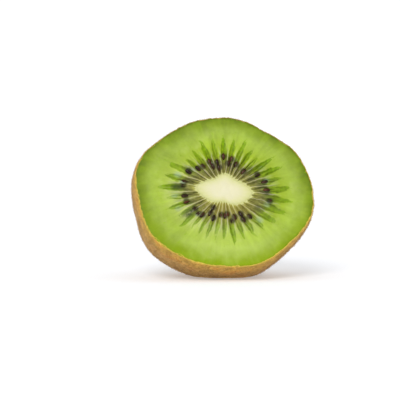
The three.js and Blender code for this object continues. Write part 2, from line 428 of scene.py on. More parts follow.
pulp = new_material("wet green kiwi flesh")
pulp_place = node(pulp, "ShaderNodeTexCoord", out="Object")
pulp_spoke, pulp_share, pulp_pitch, pulp_seed_shade, pulp_haze, pulp_juice_sheen = (
    node(pulp, "ShaderNodeAttribute", attribute_name=name, out="Fac")
    for name in ("spoke", "share", "pitch", "seed_shade", "haze", "juice")
)
bends, nicks, granules, drift, cloud = (
    node(pulp, "ShaderNodeTexNoise", {"Vector": pulp_place, "Scale": 1000 / size, "Detail": fine}, out="Fac")
    for size, fine in PULP_PATTERNS
)
turn = node(pulp, "ShaderNodeMath", {0: pulp_spoke, 1: 2 * math.pi / LOCULES}, operation="MULTIPLY")
turn_across = node(pulp, "ShaderNodeMath", {0: turn}, operation="COSINE")
turn_up = node(pulp, "ShaderNodeMath", {0: turn}, operation="SINE")
outwards = node(pulp, "ShaderNodeMath", {0: pulp_share, 1: 0.16}, operation="MULTIPLY")
round_place = node(pulp, "ShaderNodeCombineXYZ", {"X": turn_across, "Y": turn_up, "Z": outwards})
streak, fibre = (
    node(pulp, "ShaderNodeTexNoise", {"Vector": round_place, "Scale": scale, "Detail": 3.0}, out="Fac")
    for scale in PULP_RAYS
)
bends_off, nicks_off, fibre_off = (
    node(pulp, "ShaderNodeMath", {0: pattern, 1: 0.5}, operation="SUBTRACT")
    for pattern in (bends, nicks, fibre)
)

# the chambers, with edges that wander; each has its own luck
bent = node(pulp, "ShaderNodeMath", {0: bends_off, 1: 0.36, 2: pulp_spoke}, operation="MULTIPLY_ADD")
bent = node(pulp, "ShaderNodeMath", {0: nicks_off, 1: 0.12, 2: bent}, operation="MULTIPLY_ADD")
chamber = node(pulp, "ShaderNodeMath", {0: bent}, operation="ROUND")
chamber_number = node(pulp, "ShaderNodeMath", {0: chamber, 1: float(LOCULES), 2: 0.0}, operation="WRAP")
chance = node(pulp, "ShaderNodeTexWhiteNoise", {"W": chamber_number}, noise_dimensions="1D", out="Color")
luck_tip, luck_wall, luck_tone = (
    node(pulp, "ShaderNodeSeparateColor", {"Color": chance}, out=part) for part in ("Red", "Green", "Blue")
)
aside = node(pulp, "ShaderNodeMath", {0: bent, 1: chamber}, operation="SUBTRACT")
aside = node(pulp, "ShaderNodeMath", {0: aside}, operation="ABSOLUTE")

# each chamber has its own length, a little shorter on the left; `reach` is 1 at its tip
tip = node(pulp, "ShaderNodeMapRange", {"Value": luck_tip, 3: 0.56, 4: 0.74})
left_share = node(pulp, "ShaderNodeMapRange", {"Value": turn_across, 1: -0.4, 2: -1.0, 3: 1.0, 4: 0.87})
tip = node(pulp, "ShaderNodeMath", {0: tip, 1: left_share}, operation="MULTIPLY")
rough_share = node(pulp, "ShaderNodeMath", {0: bends_off, 1: 0.10, 2: pulp_share}, operation="MULTIPLY_ADD")
feather = node(pulp, "ShaderNodeMath", {0: fibre_off, 1: 0.14, 2: rough_share}, operation="MULTIPLY_ADD")
reach = node(pulp, "ShaderNodeMath", {0: feather, 1: tip}, operation="DIVIDE")

# it narrows to a point like a flame, with frayed sides; `inside` is how far in it, in mm
half_width = node(
    pulp, "ShaderNodeValToRGB", {"Fac": reach}, out="Color",
    stops=((0.0, 0.46), (0.35, 0.46), (0.5, 0.41), (0.66, 0.33), (0.84, 0.2), (0.93, 0.12), (1.0, 0.05)),
)
spare = node(pulp, "ShaderNodeMath", {0: half_width, 1: aside}, operation="SUBTRACT")
fray = node(pulp, "ShaderNodeMapRange", {"Value": reach, 1: 0.3, 2: 0.8, 3: 0.08, 4: 0.42})
spare = node(pulp, "ShaderNodeMath", {0: fibre_off, 1: fray, 2: spare}, operation="MULTIPLY_ADD")
inside = node(pulp, "ShaderNodeMath", {0: spare, 1: pulp_pitch}, operation="MULTIPLY")
flame = node(
    pulp, "ShaderNodeMapRange", {"Value": inside, 1: -0.12, 2: 0.24}, interpolation_type="SMOOTHSTEP"
)

# it is darker in some chambers, has fine threads, fades outwards and breaks up into grains at its tip
flame_much = node(pulp, "ShaderNodeMapRange", {"Value": luck_tone, 3: 0.8, 4: 1.0})
flame_thread = node(pulp, "ShaderNodeMapRange", {"Value": fibre, 1: 0.40, 2: 0.60, 3: 1.0, 4: 0.88})
tip_left = node(pulp, "ShaderNodeMapRange", {"Value": turn_up, 1: -0.8, 2: 0.8, 3: 0.66, 4: 0.95})
flame_fade = node(pulp, "ShaderNodeMapRange", {"Value": reach, 1: 0.55, 2: 1.0, 3: 1.0, 4: tip_left})
break_up = node(pulp, "ShaderNodeMapRange", {"Value": reach, 1: 0.7, 2: 1.05, 3: -0.35, 4: 0.32})
whole = node(pulp, "ShaderNodeMath", {0: granules, 1: break_up}, operation="SUBTRACT")
whole = node(
    pulp, "ShaderNodeMapRange", {"Value": whole, 1: 0.22, 2: 0.42}, interpolation_type="SMOOTHSTEP"
)

# some chambers show a paler vein along their middle
from_middle = node(pulp, "ShaderNodeMath", {0: aside, 1: pulp_pitch}, operation="MULTIPLY")
vein = node(
    pulp, "ShaderNodeMapRange", {"Value": from_middle, 1: 0.02, 2: 0.2, 3: 0.55, 4: 0.0},
    interpolation_type="SMOOTHSTEP",
)
vein_luck = node(pulp, "ShaderNodeMapRange", {"Value": luck_wall, 1: 0.5, 2: 0.8})
vein_along = node(pulp, "ShaderNodeMapRange", {"Value": reach, 1: 0.4, 2: 0.6})
for part in (vein_luck, vein_along):
    vein = node(pulp, "ShaderNodeMath", {0: vein, 1: part}, operation="MULTIPLY")
unveined = node(pulp, "ShaderNodeMath", {0: 1.0, 1: vein}, operation="SUBTRACT")
for part in (flame_much, flame_thread, flame_fade, whole, unveined):
    flame = node(pulp, "ShaderNodeMath", {0: flame, 1: part}, operation="MULTIPLY")

# outer flesh: khaki at the core, lime between the flames, then a paler green, all in soft streaks
outer_tint = node(
    pulp, "ShaderNodeValToRGB", {"Fac": rough_share}, out="Color",
    stops=(
        (0.0, "#aca862"), (0.08, "#8f8e4a"), (0.2, "#959a50"), (0.35, "#96a742"), (0.5, "#97ae30"),
        (0.62, "#98ae3e"), (0.8, "#94a944"), (1.0, "#93a72c"),
    ),
)
height = node(pulp, "ShaderNodeSeparateXYZ", {"Vector": pulp_place}, out="Z")
tone = node(pulp, "ShaderNodeMapRange", {"Value": streak, 1: 0.35, 2: 0.65, 3: 0.92, 4: 1.10})
drift_tone = node(pulp, "ShaderNodeMapRange", {"Value": drift, 1: 0.3, 2: 0.7, 3: 0.90, 4: 1.10})
paler_below = node(pulp, "ShaderNodeMapRange", {"Value": height, 1: 0.004, 2: 0.034, 3: 1.10, 4: 0.97})
mottle = node(pulp, "ShaderNodeMapRange", {"Value": nicks, 1: 0.3, 2: 0.7, 3: 0.97, 4: 1.03})
for part in (drift_tone, paler_below, mottle):
    tone = node(pulp, "ShaderNodeMath", {0: tone, 1: part}, operation="MULTIPLY")
outer = node(
    pulp, "ShaderNodeMix", {"Factor": 1.0, "A": outer_tint, "B": tone}, data_type="RGBA",
    blend_type="MULTIPLY",
)

# over it lie pale cloudy patches, a paler and greyer zone on the lower left, and the palest zone at
# the bottom, half way to the skin
cloud_much = node(
    pulp, "ShaderNodeMapRange", {"Value": cloud, 1: 0.5, 2: 0.72, 3: 0.0, 4: 0.4},
    interpolation_type="SMOOTHSTEP",
)
low_left = node(pulp, "ShaderNodeMath", {0: turn_across, 1: turn_up}, operation="ADD")
pale_much = node(pulp, "ShaderNodeMapRange", {"Value": low_left, 1: 0.6, 2: -1.0, 3: 0.0, 4: 0.32})
flames_start = node(pulp, "ShaderNodeMapRange", {"Value": pulp_share, 1: 0.15, 2: 0.3})
flames_end = node(pulp, "ShaderNodeMapRange", {"Value": pulp_share, 1: 0.45, 2: 0.65, 3: 1.0, 4: 0.0})
for part in (flames_start, flames_end):
    pale_much = node(pulp, "ShaderNodeMath", {0: pale_much, 1: part}, operation="MULTIPLY")
belly = node(pulp, "ShaderNodeMapRange", {"Value": turn_up, 1: -0.6, 2: -1.0, 3: 0.0, 4: 0.5})
belly_zone = node(pulp, "ShaderNodeMapRange", {"Value": pulp_share, 1: 0.55, 2: 0.72})
belly_much = node(pulp, "ShaderNodeMath", {0: belly, 1: belly_zone}, operation="MULTIPLY")
for much, colour in ((cloud_much, "#b2c266"), (pale_much, "#b6b68a"), (belly_much, "#b4c666")):
    outer = node(pulp, "ShaderNodeMix", {"Factor": much, "A": outer, "B": linear(colour)}, data_type="RGBA")

# under the skin it grows dark and more saturated over some 5 mm
rim_start = node(pulp, "ShaderNodeMath", {0: cloud, 1: -0.34, 2: 0.965}, operation="MULTIPLY_ADD")
rim_start = node(pulp, "ShaderNodeMath", {0: streak, 1: -0.20, 2: rim_start}, operation="MULTIPLY_ADD")
rim_end = node(pulp, "ShaderNodeMath", {0: rim_start, 1: 0.325}, operation="ADD")
rim = node(
    pulp, "ShaderNodeMapRange", {"Value": pulp_share, 1: rim_start, 2: rim_end},
    interpolation_type="SMOOTHSTEP",
)
rim_high = node(
    pulp, "ShaderNodeValToRGB", {"Fac": streak}, out="Color",
    stops=((0.36, "#5f741c"), (0.5, "#6a7f1a"), (0.64, "#768e20")),
)
high_up = node(pulp, "ShaderNodeMapRange", {"Value": height, 1: 0.006, 2: 0.026})
rim_tint = node(
    pulp, "ShaderNodeMix", {"Factor": high_up, "A": linear("#829a12"), "B": rim_high}, data_type="RGBA"
)
last_bit = node(pulp, "ShaderNodeMapRange", {"Value": pulp_share, 1: 0.95, 2: 1.0, 3: 0.0, 4: 0.4})
last_bit = node(pulp, "ShaderNodeMath", {0: last_bit, 1: high_up}, operation="MULTIPLY")
for much, colour in ((rim, rim_tint), (last_bit, linear("#4a6416"))):
    outer = node(pulp, "ShaderNodeMix", {"Factor": much, "A": outer, "B": colour}, data_type="RGBA")

# pulp inside the chambers: olive and nearly black round the seeds, then a deep clear green, in
# grains, with broken dark edges
inner_tint = node(
    pulp, "ShaderNodeValToRGB", {"Fac": rough_share}, out="Color",
    stops=(
        (0.0, "#908e46"), (0.09, "#727036"), (0.18, "#6a683a"), (0.28, "#6e7a2c"), (0.36, "#6a820c"),
        (0.48, "#658400"), (0.6, "#6c8f00"), (0.8, "#7c9e00"),
    ),
)
grain_tone = node(pulp, "ShaderNodeMapRange", {"Value": granules, 1: 0.3, 2: 0.7, 3: 0.74, 4: 1.26})
inner = node(
    pulp, "ShaderNodeMix", {"Factor": 1.0, "A": inner_tint, "B": grain_tone}, data_type="RGBA",
    blend_type="MULTIPLY",
)
border = node(
    pulp, "ShaderNodeMapRange", {"Value": inside, 1: 0.1, 2: 0.5, 3: 1.0, 4: 0.0},
    interpolation_type="SMOOTHSTEP",
)
border_grain = node(pulp, "ShaderNodeMapRange", {"Value": granules, 1: 0.42, 2: 0.6, 3: 0.4, 4: 0.03})
border_much = node(pulp, "ShaderNodeMath", {0: border, 1: border_grain}, operation="MULTIPLY")
inner = node(
    pulp, "ShaderNodeMix", {"Factor": border_much, "A": inner, "B": linear("#364410")}, data_type="RGBA"
)
both = node(pulp, "ShaderNodeMix", {"Factor": flame, "A": outer, "B": inner}, data_type="RGBA")

# fine dark and pale threads leave the core between the walls, and the right side is a little darker
thread_fade = node(
    pulp, "ShaderNodeMapRange", {"Value": pulp_share, 1: 0.16, 2: 0.6, 3: 3.4, 4: 0.15},
    interpolation_type="SMOOTHSTEP",
)
darker_right = node(pulp, "ShaderNodeMapRange", {"Value": turn_across, 1: 0.1, 2: 1.0, 3: 0.04, 4: -0.17})
darker_right = node(pulp, "ShaderNodeMath", {0: darker_right, 1: flames_start}, operation="MULTIPLY")
side_tone = node(
    pulp, "ShaderNodeMath", {0: darker_right, 1: flames_end, 2: 1.0}, operation="MULTIPLY_ADD"
)
thread_tone = node(
    pulp, "ShaderNodeMath", {0: fibre_off, 1: thread_fade, 2: side_tone}, operation="MULTIPLY_ADD"
)

# in the upper half the green is deeper and yellower, most of all in the chambers
sap_much = node(pulp, "ShaderNodeMapRange", {"Value": turn_up, 1: 0.1, 2: 0.8, 3: 0.0, 4: 0.9})
sap_in_flame = node(pulp, "ShaderNodeMapRange", {"Value": flame, 3: 0.3, 4: 1.0})
for part in (sap_in_flame, flames_start, flames_end):
    sap_much = node(pulp, "ShaderNodeMath", {0: sap_much, 1: part}, operation="MULTIPLY")
tinted = both
for much, colour in ((1.0, thread_tone), (sap_much, (1.0, 1.0, 0.3, 1.0))):
    tinted = node(
        pulp, "ShaderNodeMix", {"Factor": much, "A": tinted, "B": colour}, data_type="RGBA",
        blend_type="MULTIPLY",
    )

# near the core the top of the cut is browner and its bottom yellower
brown_end = node(pulp, "ShaderNodeMapRange", {"Value": pulp_share, 1: 0.12, 2: 0.28, 3: 1.0, 4: 0.0})
brown_much = node(pulp, "ShaderNodeMapRange", {"Value": turn_up, 1: 0.3, 2: 1.0, 3: 0.0, 4: 0.28})
brown_much = node(pulp, "ShaderNodeMath", {0: brown_much, 1: brown_end}, operation="MULTIPLY")
mustard_end = node(pulp, "ShaderNodeMapRange", {"Value": pulp_share, 1: 0.16, 2: 0.42, 3: 1.0, 4: 0.0})
mustard_much = node(pulp, "ShaderNodeMapRange", {"Value": turn_up, 1: -0.3, 2: -0.9, 3: 0.0, 4: 0.42})
mustard_much = node(pulp, "ShaderNodeMath", {0: mustard_much, 1: mustard_end}, operation="MULTIPLY")

# walls between the chambers: pale threads a quarter of a millimetre thick that fade out half way
wall_off = node(pulp, "ShaderNodeMath", {0: 0.5, 1: aside}, operation="SUBTRACT")
wall_far = node(pulp, "ShaderNodeMath", {0: wall_off, 1: pulp_pitch}, operation="MULTIPLY")
wall_much = node(
    pulp, "ShaderNodeMapRange", {"Value": wall_far, 1: 0.03, 2: 0.19, 3: 1.0, 4: 0.0},
    interpolation_type="SMOOTHSTEP",
)
wall_fade = node(
    pulp, "ShaderNodeMapRange", {"Value": rough_share, 1: 0.34, 2: 0.56, 3: 1.0, 4: 0.0},
    interpolation_type="SMOOTHSTEP",
)
wall_luck = node(pulp, "ShaderNodeMapRange", {"Value": luck_wall, 3: 0.95, 4: 0.4})
for part in (wall_fade, wall_luck):
    wall_much = node(pulp, "ShaderNodeMath", {0: wall_much, 1: part}, operation="MULTIPLY")
wall_tint = node(
    pulp, "ShaderNodeValToRGB", {"Fac": pulp_share}, out="Color",
    stops=((0.0, "#b4ae74"), (0.12, "#a69c7a"), (0.28, "#a2968a"), (0.42, "#a0aa76"), (0.6, "#a4b860")),
)

# the cream of the core runs a little way out along the walls, by this share of the way
ray = node(pulp, "ShaderNodeMapRange", {"Value": aside, 1: 0.1, 2: 0.5, 3: 0.0244, 4: 0.061})
ray = node(pulp, "ShaderNodeMath", {0: fibre_off, 1: 0.1708, 2: ray}, operation="MULTIPLY_ADD")
ray = node(pulp, "ShaderNodeMath", {0: ray, 1: 0.00976}, operation="MAXIMUM")
ray_low = node(pulp, "ShaderNodeMath", {0: ray, 1: 0.3}, operation="MULTIPLY")
cream_much = node(
    pulp, "ShaderNodeMapRange", {"Value": pulp_share, 1: ray_low, 2: ray, 3: 1.0, 4: 0.0},
    interpolation_type="SMOOTHSTEP",
)

# a painted shade hugs each seed where it sinks into the pulp, deeper seeds show through as a grey
# haze, and some pulp is pale and clear, with a painted wet sheen of juice on it
seed_shade_much = node(pulp, "ShaderNodeMath", {0: pulp_seed_shade, 1: 0.8}, operation="MULTIPLY")
haze_grain = node(pulp, "ShaderNodeMapRange", {"Value": granules, 1: 0.3, 2: 0.65, 3: 0.35, 4: 1.0})
haze_much = node(pulp, "ShaderNodeMath", {0: pulp_haze, 1: haze_grain}, operation="MULTIPLY")
# painted wet sheen of juice on the pale clear pulp
juice_sheen_grain = node(pulp, "ShaderNodeMapRange", {"Value": fibre, 1: 0.38, 2: 0.56})
juice_sheen_much = node(pulp, "ShaderNodeMath", {0: pulp_juice_sheen, 1: juice_sheen_grain}, operation="MULTIPLY")
for much, colour in (
    (brown_much, linear("#3a3216")), (mustard_much, linear("#aca048")), (wall_much, wall_tint),
    (cream_much, linear("#c2c384")), (seed_shade_much, linear("#24220f")), (haze_much, linear("#2b3326")),
    (juice_sheen_much, linear("#98ac90")),
):
    tinted = node(pulp, "ShaderNodeMix", {"Factor": much, "A": tinted, "B": colour}, data_type="RGBA")

bump_much = node(pulp, "ShaderNodeMapRange", {"Value": pulp_share, 1: 0.3, 2: 0.7, 3: 0.25, 4: 0.08})
wet_bump = node(pulp, "ShaderNodeBump", {"Height": granules, "Strength": bump_much, "Distance": 0.00025})
pulp_shade = node(
    pulp, "ShaderNodeBsdfPrincipled",
    {
        "Base Color": tinted, "Roughness": 0.34, "IOR": 1.36, "Specular IOR Level": 0.1, "Normal": wet_bump,
        "Subsurface Weight": 0.3, "Subsurface Radius": (0.8, 1.0, 0.4), "Subsurface Scale": 0.0006,
    },
)
node(pulp, "ShaderNodeOutputMaterial", {"Surface": pulp_shade})

flesh = piece_of("green_flesh", flesh_body(), pulp)
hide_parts("flesh_and_skin")
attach(flesh, "root")


# ---- Seeds ---------------------------------------------------------------------------------------
# Small flattened drops with a hard, glossy, nearly black coat. They lie in the chambers with their
# points to the core, half sunk in the soft pulp.
SEED_LENGTH = 2.2
SEED_WIDTH = 1.4
SEED_THICKNESS = 1.05
SEED_RISE = 0.35
SEED_TAPER = 0.35  # how much narrower the end towards the core is


def seeds_body():
    bm = bmesh.new()
    for angle, share in seed_places():
        made = bmesh.ops.create_uvsphere(bm, u_segments=16, v_segments=10, radius=1.0)["verts"]
        for vert in made:
            along = -vert.co.z
            narrow = 1 + SEED_TAPER * (along - 1) / 2
            wide, thick = narrow * SEED_WIDTH / 2, narrow * SEED_THICKNESS / 2
            vert.co = Vector((along * SEED_LENGTH / 2, vert.co.x * wide, vert.co.y * thick))
        centre = at(angle, face_ring(share, angle), SEED_RISE - LOCULE_DEPTH / 2 - SEED_THICKNESS / 2)
        turn = Matrix.Translation(centre) @ Matrix.Rotation(math.radians(angle), 4, "Z")
        bmesh.ops.transform(bm, matrix=turn, verts=made)
    bmesh.ops.recalc_face_normals(bm, faces=bm.faces)
    return bm


# Kiwi seed coat: hard, almost black with a red-brown cast on some, finely pitted, and polished by
# the juice. The cast comes in patches wider than a seed, and the pits are a fifth of a millimetre.
COAT_PATCH, COAT_PIT = 3.85, 0.1923
coat = new_material("glossy black-brown seed coat")
coat_place = node(coat, "ShaderNodeTexCoord", out="Object")
coat_patch = node(
    coat, "ShaderNodeTexNoise", {"Vector": coat_place, "Scale": 1000 / COAT_PATCH, "Detail": 1.0}, out="Fac"
)
coat_tint = node(
    coat, "ShaderNodeValToRGB", {"Fac": coat_patch}, out="Color",
    stops=((0.35, "#1e140a"), (0.52, "#35200f"), (0.68, "#562c18")),
)
coat_pits = node(
    coat, "ShaderNodeTexVoronoi", {"Vector": coat_place, "Scale": 1000 / COAT_PIT}, out="Distance"
)
coat_bump = node(coat, "ShaderNodeBump", {"Height": coat_pits, "Strength": 0.25, "Distance": 0.00006})
coat_shade = node(
    coat, "ShaderNodeBsdfPrincipled",
    {
        "Base Color": coat_tint, "Roughness": 0.24, "IOR": 1.45, "Specular IOR Level": 0.18,
        "Normal": coat_bump,
    },
)
node(coat, "ShaderNodeOutputMaterial", {"Surface": coat_shade})

seeds = piece_of("seeds", seeds_body(), coat)
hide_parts("flesh_and_skin")
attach(seeds, "root")


# ---- Skin ----------------------------------------------------------------------------------------
# A thin, dull, leathery brown peel that is grown to the flesh. The knife leaves its edge as a
# slightly ragged yellow line round the cut, and the fruit's weight presses it flat where it lies.
SKIN_COLUMNS = 10 * LOCULES
SKIN_RINGS = 90
SKIN_RING_SPREAD = 1.15  # above 1, the rings of the mesh lie closer together near the cut
RAGGED_EDGE = 0.6  # how far the skin's edge curls in over the flesh, where it does
EDGE_RISE = 0.05  # how far that edge stands over the cut
SKIN_LUMPS = ((0.16, 0.22), (0.09, 0.8))  # how high in mm, and how close together


def skin_body():
    bm = turned_disc(SKIN_RINGS + 1, SKIN_COLUMNS)
    below = bm.verts.layers.float.new("below")
    cell = bm.faces.layers.int.new("cell")
    for face in bm.faces:
        middle = face.calc_center_median()
        column = math.floor(math.atan2(middle.y, middle.x) / (2 * math.pi) * SKIN_COLUMNS)
        face[cell] = int(middle.length) * SKIN_COLUMNS + column
    for vert in bm.verts:
        ring, turn = ring_and_turn(vert)
        angle = spoke_angle(turn * LOCULES / 360)
        step = 1 - ring / SKIN_RINGS
        place = skin_at(FACE_TURN + (90 - FACE_TURN) * step**SKIN_RING_SPREAD, angle)
        if step == 0:
            curl = RAGGED_EDGE * max(0.0, 0.25 + noise.noise(place * 0.45) + 0.6 * noise.noise(place * 1.5))
            place += Vector((0, 0, EDGE_RISE)) - curl * place.xy.normalized().to_3d()
        lump = sum(high * noise.noise(place * close) for high, close in SKIN_LUMPS)
        outwards = place.xy.normalized().to_3d() * lump if ring else Vector((0, 0, -lump))
        vert.co = place + outwards
        vert[below] = -place.z
    press_flat(bm, 0)
    bmesh.ops.recalc_face_normals(bm, faces=bm.faces)
    bmesh.ops.solidify(bm, geom=bm.faces, thickness=SKIN_THICKNESS)
    bmesh.ops.recalc_face_normals(bm, faces=bm.faces)
    return bm


# Kiwi peel: a dry, matt, tan-brown cork with darker pores and an orange cast in patches. At the cut
# it is yellow, and for some millimetres behind it more golden than on the rest of the fruit.
PEEL_PATCH, PEEL_PORE = 4.76, 0.667
GOLDEN_FOR = (1.2, 9.0)  # from where to where, in mm behind the cut, the gold gives way to brown

peel = new_material("brown kiwi peel")
peel_place = node(peel, "ShaderNodeTexCoord", out="Object")
peel_below = node(peel, "ShaderNodeAttribute", attribute_name="below", out="Fac")
patches = node(
    peel, "ShaderNodeTexNoise", {"Vector": peel_place, "Scale": 1000 / PEEL_PATCH, "Detail": 3.0}, out="Fac"
)
near_tint = node(
    peel, "ShaderNodeValToRGB", {"Fac": patches}, out="Color",
    stops=((0.32, "#ae8a3c"), (0.44, "#c09842"), (0.54, "#d2a64a"), (0.63, "#d49e42"), (0.72, "#cc8e38")),
)
far_tint = node(
    peel, "ShaderNodeValToRGB", {"Fac": patches}, out="Color",
    stops=((0.32, "#9a733e"), (0.44, "#ac8748"), (0.54, "#b89156"), (0.63, "#bc8e4e"), (0.72, "#ba8644")),
)
far = node(
    peel, "ShaderNodeMapRange", {"Value": peel_below, 1: GOLDEN_FOR[0], 2: GOLDEN_FOR[1]},
    interpolation_type="SMOOTHSTEP",
)
at_cut = node(
    peel, "ShaderNodeMapRange", {"Value": peel_below, 1: 0.1, 2: 0.9, 3: 0.85, 4: 0.0},
    interpolation_type="SMOOTHSTEP",
)
peel_height = node(peel, "ShaderNodeSeparateXYZ", {"Vector": peel_place}, out="Z")
peel_high = node(peel, "ShaderNodeMapRange", {"Value": peel_height, 2: 0.05})
cut_tint = node(
    peel, "ShaderNodeValToRGB", {"Fac": peel_high}, out="Color",
    stops=((0.0, "#c8b048"), (0.5, "#c2a640"), (0.9, "#8c8430")),
)
peel_tint = near_tint
for much, colour in ((far, far_tint), (at_cut, cut_tint)):
    peel_tint = node(peel, "ShaderNodeMix", {"Factor": much, "A": peel_tint, "B": colour}, data_type="RGBA")
pores = node(
    peel, "ShaderNodeTexNoise", {"Vector": peel_place, "Scale": 1000 / PEEL_PORE, "Detail": 2.0}, out="Fac"
)
pore_tone = node(peel, "ShaderNodeMapRange", {"Value": pores, 1: 0.3, 2: 0.7, 3: 0.78, 4: 1.2})
peel_pored = node(
    peel, "ShaderNodeMix", {"Factor": 1.0, "A": peel_tint, "B": pore_tone}, data_type="RGBA",
    blend_type="MULTIPLY",
)
peel_bump = node(peel, "ShaderNodeBump", {"Height": pores, "Strength": 0.5, "Distance": 0.0002})
peel_shade = node(
    peel, "ShaderNodeBsdfPrincipled",
    {
        "Base Color": peel_pored, "Roughness": 0.8, "Specular IOR Level": 0.25, "Normal": peel_bump,
        "Sheen Weight": 0.1, "Sheen Roughness": 0.5, "Sheen Tint": linear("#e0bf8c"),
    },
)
node(peel, "ShaderNodeOutputMaterial", {"Surface": peel_shade})

skin = piece_of("brown_skin", skin_body(), peel)
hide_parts("flesh_and_skin")
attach(skin, "root")


# ---- Down ----------------------------------------------------------------------------------------
# Short stiff hairs all over the skin, half a millimetre to a millimetre long. They lean every way,
# mostly lying back along the skin, and are rubbed off where the fruit rests.
HAIR_DOUBLINGS = 15  # one hair is doubled this often, which makes 32768 of them
HAIR_LENGTHS = (0.4, 1.05)
HAIR_RADIUS = 0.035
HAIR_ROOT = 0.08  # the share of its length that is under the skin
HAIR_LIE_BACK = 0.5  # how far the hairs point to the far end, as a share of how far they point aside
HAIR_RISE = (0.18, 1.02)  # how steeply they stand, as a share of how far they lie over
HAIRS_ABOVE_CUT = 0.25  # the furthest that one reaches over the cut, in mm
HAIRS_CLEAR_OF_TABLE = 0.0006
FRUIT_MIDDLE = 15  # mm behind the cut


def down_body():
    draw = random.Random(41)
    bm = bmesh.new()
    below = bm.verts.layers.float.new("below")
    bmesh.ops.create_cone(bm, segments=3, radius1=1.0, radius2=0.0, depth=1.0, cap_ends=True)
    bmesh.ops.remove_doubles(bm, verts=bm.verts, dist=MERGE)
    bmesh.ops.recalc_face_normals(bm, faces=bm.faces)
    for _ in range(HAIR_DOUBLINGS):
        bmesh.ops.duplicate(bm, geom=bm.verts[:] + bm.edges[:] + bm.faces[:])
    to_fruit = PLACE.inverted()
    spin = to_fruit.to_3x3().normalized()
    up = spin @ Vector((0, 0, 1))
    # faces and corners are put in an order of their own, so that each run draws the same hairs
    cells = skin.data.attributes["cell"]
    outer = []
    for face in skin.data.polygons:
        middle, normal = to_fruit @ face.center, spin @ face.normal
        from_middle = Vector((middle.x, middle.y, middle.z + FRUIT_MIDDLE))
        if normal.dot(from_middle) > 0 and normal.z < 0.6 and face.center.z > HAIRS_CLEAR_OF_TABLE:
            outer.append((middle, normal, face))
    outer.sort(key=lambda entry: (cells.data[entry[2].index].value, entry[0].z))
    points = [to_fruit @ vertex.co for vertex in skin.data.vertices]
    corners = [sorted((points[i] for i in face.vertices), key=tuple) for _, _, face in outer]
    chosen = draw.choices(range(len(outer)), [face.area for _, _, face in outer], k=2**HAIR_DOUBLINGS)
    tips = [vert for vert in bm.verts if vert.co.z > 0]
    for tip, pick in zip(tips, chosen):
        _, normal, _ = outer[pick]
        weights = [draw.random() for _ in corners[pick]]
        root = sum((c * w for c, w in zip(corners[pick], weights)), Vector()) / sum(weights)
        lie = normal.cross(Vector((draw.gauss(0, 1), draw.gauss(0, 1), draw.gauss(0, 1)))).normalized()
        backwards = Vector((0, 0, -1)) + normal * normal.z
        lean = (lie + HAIR_LIE_BACK * backwards).normalized()
        direction = (lean + normal * draw.uniform(*HAIR_RISE)).normalized()
        long = draw.uniform(*HAIR_LENGTHS)
        if root.z + direction.z * long > HAIRS_ABOVE_CUT:
            direction.z = -abs(direction.z)
        if (PLACE @ (root + direction * long)).z < 0:
            direction = direction.reflect(up)
        turn = direction.to_track_quat("Z", "X")
        for vert in [edge.other_vert(tip) for edge in tip.link_edges] + [tip]:
            x, y, z = vert.co
            vert.co = root + turn @ Vector((x * HAIR_RADIUS, y * HAIR_RADIUS, (z + 0.5 - HAIR_ROOT) * long))
            vert[below] = -root.z
    skin.data.attributes.remove(cells)
    return bm


# Dry plant hair: straw to tan, brighter than the peel below it, and changing in tufts.
HAIR_TUFT = 1.43
hair = new_material("tan kiwi down")
hair_place = node(hair, "ShaderNodeTexCoord", out="Object")
hair_patch = node(
    hair, "ShaderNodeTexNoise", {"Vector": hair_place, "Scale": 1000 / HAIR_TUFT, "Detail": 1.0}, out="Fac"
)
hair_below = node(hair, "ShaderNodeAttribute", attribute_name="below", out="Fac")
hair_near = node(
    hair, "ShaderNodeValToRGB", {"Fac": hair_patch}, out="Color",
    stops=((0.35, "#ac8236"), (0.5, "#cca046"), (0.65, "#e2bc68")),
)
hair_far = node(
    hair, "ShaderNodeValToRGB", {"Fac": hair_patch}, out="Color",
    stops=((0.35, "#a47a40"), (0.5, "#c49a58"), (0.65, "#deba7a")),
)
hair_much = node(
    hair, "ShaderNodeMapRange", {"Value": hair_below, 1: GOLDEN_FOR[0], 2: GOLDEN_FOR[1]},
    interpolation_type="SMOOTHSTEP",
)
hair_tint = node(
    hair, "ShaderNodeMix", {"Factor": hair_much, "A": hair_near, "B": hair_far}, data_type="RGBA"
)
hair_shade = node(hair, "ShaderNodeBsdfPrincipled", {"Base Color": hair_tint, "Roughness": 0.6})
node(hair, "ShaderNodeOutputMaterial", {"Surface": hair_shade})

down = piece_of("skin_down", down_body(), hair)
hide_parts("flesh_and_skin")
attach(down, "root")


# ---- Sepals --------------------------------------------------------------------------------------
# The dried remains of the flower at the far end: two ragged rings of curled, papery leaves, and
# inside them the dead threads that carried the pollen and the fruit's styles.
CALYX_HEIGHT = 1.1
SEPAL_THICKNESS = 0.14
SEPAL_TIP = 0.03  # half the width of its point
# each ring of leaves: how many, where they start, their lengths, half widths and curls (mm)
SEPAL_RINGS = (
    (8, 1.7, (2.2, 3.6), (0.7, 1.2), (0.6, 1.15)),
    (11, 1.9, (1.6, 3.3), (0.25, 0.6), (0.2, 1.3)),
    (17, 0.7, (1.0, 2.4), (0.07, 0.14), (0.7, 1.7)),
)


def depth_at(share):
    """How deep behind the cut the outside lies, at a share of the cut face's radius."""
    along = (1 - (share * FACE_TO_GIRTH) ** END_BLUNTNESS) ** (1 / END_BLUNTNESS)
    return GIRTH_SETBACK + LENGTH_PAST_GIRTH * along


